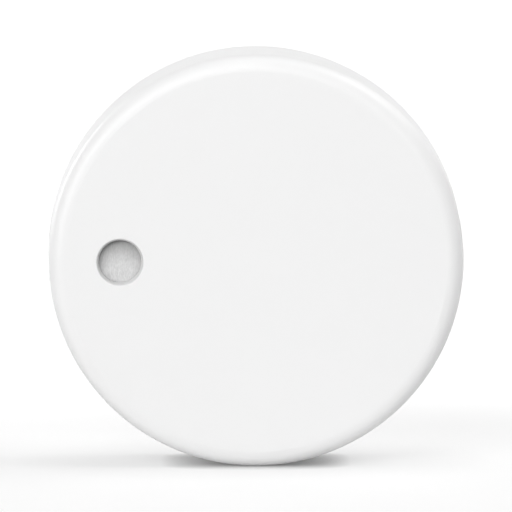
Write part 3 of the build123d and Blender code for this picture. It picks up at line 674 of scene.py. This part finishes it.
def print_outlines():
    """White ink outlines round the components, the ring where the holder stands, and a plus at its side contact."""
    strips = []
    pen = 0.14

    def ink(stops, y=BOARD_BACK, round_the_axis=False):
        rise = INK_RISE if y == BOARD_BACK else -INK_RISE
        strips.append(track(stops, pen, y, rise, round_the_axis, 40))

    for start, end in ((15, 70), (110, 250), (290, 345)):
        ink([(14.3, start), (14.3, end)], round_the_axis=True)
    for a in SWITCH_ANGLES:
        for side in (-1, 1):
            ink([polar(BAY_RADIUS + dr, a) + polar(side * 2.3, a + 90) for dr in (-1.5, 1.5)])
    for dr, dt in ((-1.05, -2.2), (1.05, 2.2)):
        ink([polar(BAY_RADIUS + dr, BULK_ANGLE) + polar(t, BULK_ANGLE + 90) for t in (dt, -dt)])
    ink([(18.6, 0.0), (19.8, 0.0)])
    ink([(19.2, -0.6), (19.2, 0.6)])
    # Corner marks of four front components: half of each one's width and height
    for (x, z), wide, tall in (
        (RADIO, 3.4, 3.4), (MOTION, 1.3, 1.3), (MAIN_CRYSTAL, 1.95, 1.55), (CLOCK_CRYSTAL, 1.95, 1.1),
    ):
        for sx in (-1, 1):
            for sz in (-1, 1):
                ink([(x + sx * wide, z + sz * (tall - 0.5)), (x + sx * wide, z + sz * tall),
                     (x + sx * (wide - 0.5), z + sz * tall)], BOARD_FRONT)
    printed = skin("board_print", strips, closed_u=False, closed_v=True)
    dress(printed, "housing", "board", material=board_ink)


def mark_cell_and_cover():
    """Plus sign stamped in the can, ejector marks inside the back cover, and the dots at the chips' first pins."""
    bars = (((9.1, 0.0), (11.1, 0.0)), ((10.1, -1.0), (10.1, 1.0)))
    arms = [track(bar, 0.42, CELL_BACK, 0.03) for bar in bars]
    dress(skin("cell_plus_mark", arms, closed_u=False, closed_v=True), "cell", "cell_steel")

    circles = ((18.6, 6, 30), (11.6, 3, 90))
    places = [polar(r, a) for r, count, first in circles for a in first + 360 / count * np.arange(count)]
    marks = [button_of(*place, COVER_INSIDE, 1.2, -0.03, 40) for place in places]
    dress(skin("ejector_marks", marks, closed_v=True), "back_cover", "case_plastic")

    dots = [button_of(RADIO[0] - 2.3, RADIO[1] + 2.3, RADIO_TOP, 0.25, -0.01),
            button_of(MOTION[0] - 0.6, MOTION[1] + 0.6, MOTION_TOP, 0.12, -0.01)]
    dress(skin("first_pin_dots", dots, closed_v=True), "housing", "chip_epoxy", material=board_ink)


# Camera, light and floor

def direction(azimuth, elevation):
    """Unit vector away from the puck, in degrees: azimuth turns from the face's side to +X, elevation rises."""
    a, e = math.radians(azimuth), math.radians(elevation)
    return Vector((math.sin(a) * math.cos(e), -math.cos(a) * math.cos(e), math.sin(e)))


def place_camera():
    """Camera a little above the puck and a hair to its left, behind a very long lens, as in the photograph.

    It stands as far back as makes one millimetre at the face's rim pixels_per_mm pixels of the frame.
    """
    frame_pixels, pixels_per_mm = 512, 7.985
    target = Vector((-0.03, -4.25, 26.5)) * MM
    back = direction(-0.9, 7.5)
    data = bpy.data.cameras.new("camera")
    data.lens, data.sensor_width = 1200.0, 36.0
    data.clip_start, data.clip_end = 0.01, 30
    camera = put("camera", data)
    camera.location = target + back * (data.lens / data.sensor_width * frame_pixels / pixels_per_mm) * MM
    camera.rotation_euler = (-back).to_track_quat("-Z", "Y").to_euler()
    bpy.context.scene.camera = camera


def hang_lamp(name, azimuth, elevation, share, size, shine):
    """Square softbox aimed at the puck; one without shine leaves no glare on the top of the rim."""
    data = bpy.data.lights.new(name, "AREA")
    data.shape, data.size = "SQUARE", size
    data.energy = share * WATTS_PER_SHARE * LAMP_DISTANCE ** 2
    towards = direction(azimuth, elevation)
    light = put(name, data)
    light.location = Vector((0, 0, CENTRE_Z)) + towards * LAMP_DISTANCE
    light.rotation_euler = towards.to_track_quat("Z", "Y").to_euler()
    light.visible_camera, light.visible_glossy = False, shine


def light_studio():
    """White surroundings that the camera, gloss and glass see and that light nothing, and the lamps."""
    scene = bpy.context.scene
    scene.view_settings.view_transform = "Standard"
    world = bpy.data.worlds.new("studio")
    scene.world = world
    world.use_nodes = True
    tree = world.node_tree
    tree.nodes.clear()
    seen = add(tree, "ShaderNodeLightPath").outputs
    shown = add(tree, "ShaderNodeMath", {0: seen["Is Camera Ray"], 1: seen["Is Glossy Ray"]}, operation="MAXIMUM")
    shown = add(tree, "ShaderNodeMath", {0: shown.outputs[0], 1: seen["Is Transmission Ray"]}, operation="MAXIMUM")
    dark = add(tree, "ShaderNodeBackground", {"Color": linear("#FFFFFF"), "Strength": 0.0})
    white = add(tree, "ShaderNodeBackground", {"Color": linear("#FFFFFF"), "Strength": 1.0})
    mix = add(tree, "ShaderNodeMixShader", {0: shown.outputs[0], 1: dark.outputs[0], 2: white.outputs[0]})
    add(tree, "ShaderNodeOutputWorld", {"Surface": mix.outputs[0]})
    for name, settings in LAMPS.items():
        hang_lamp(name, *settings)


def lay_floor():
    """White card: a pale diffuse for the light it throws back; the camera and gloss see a greyer one that glows.

    The glow keeps the floor near white and grows towards the back, and the puck's shadow and the shade at its foot
    stay.
    """
    half = 3.0
    mesh = bpy.data.meshes.new("floor")
    mesh.from_pydata([(-half, -half, 0), (half, -half, 0), (half, half, 0), (-half, half, 0)], [], [(0, 1, 2, 3)])
    floor = put("floor", mesh)
    material = bpy.data.materials.new("floor_card_white")
    material.use_nodes = True
    tree = material.node_tree
    tree.nodes.clear()
    seen = add(tree, "ShaderNodeLightPath").outputs
    shown = add(tree, "ShaderNodeMath", {0: seen["Is Camera Ray"], 1: seen["Is Glossy Ray"]}, operation="MAXIMUM")
    card = add(tree, "ShaderNodeBsdfDiffuse", {"Color": linear("#DCDCDC")})
    greyer = add(tree, "ShaderNodeBsdfDiffuse", {"Color": linear("#9E9E9E")})
    where = add(tree, "ShaderNodeTexCoord").outputs["Object"]
    depth = add(tree, "ShaderNodeSeparateXYZ", {0: where}).outputs[1]
    lit = add(tree, "ShaderNodeMapRange", {
        "Value": depth, "From Min": 25 * MM, "From Max": 75 * MM,
        "To Min": 0.665, "To Max": 0.815}, interpolation_type="SMOOTHSTEP")
    # A dark line at the contact and a faint wide shade round it: how far each reaches, and how much light it leaves
    for reach, left in ((2.6, 0.3), (14.0, 0.74)):
        near = add(tree, "ShaderNodeAmbientOcclusion", {"Distance": reach * MM}, samples=16)
        shade = add(tree, "ShaderNodeMapRange", {"Value": near.outputs["AO"], "To Min": left, "To Max": 1.0})
        lit = add(tree, "ShaderNodeMath", {0: lit.outputs[0], 1: shade.outputs[0]}, operation="MULTIPLY")
    glow = add(tree, "ShaderNodeEmission", {"Color": linear("#FFFFFF"), "Strength": lit.outputs[0]})
    both = add(tree, "ShaderNodeAddShader", {0: greyer.outputs[0], 1: glow.outputs[0]})
    mix = add(tree, "ShaderNodeMixShader", {0: shown.outputs[0], 1: card.outputs[0], 2: both.outputs[0]})
    add(tree, "ShaderNodeOutputMaterial", {"Surface": mix.outputs[0]})
    mesh.materials.append(material)


flare_vent()
form_membrane()
form_soft_parts()
fit_terminals()
draw_tracks()
print_outlines()
mark_cell_and_cover()
place_camera()
light_studio()
lay_floor()
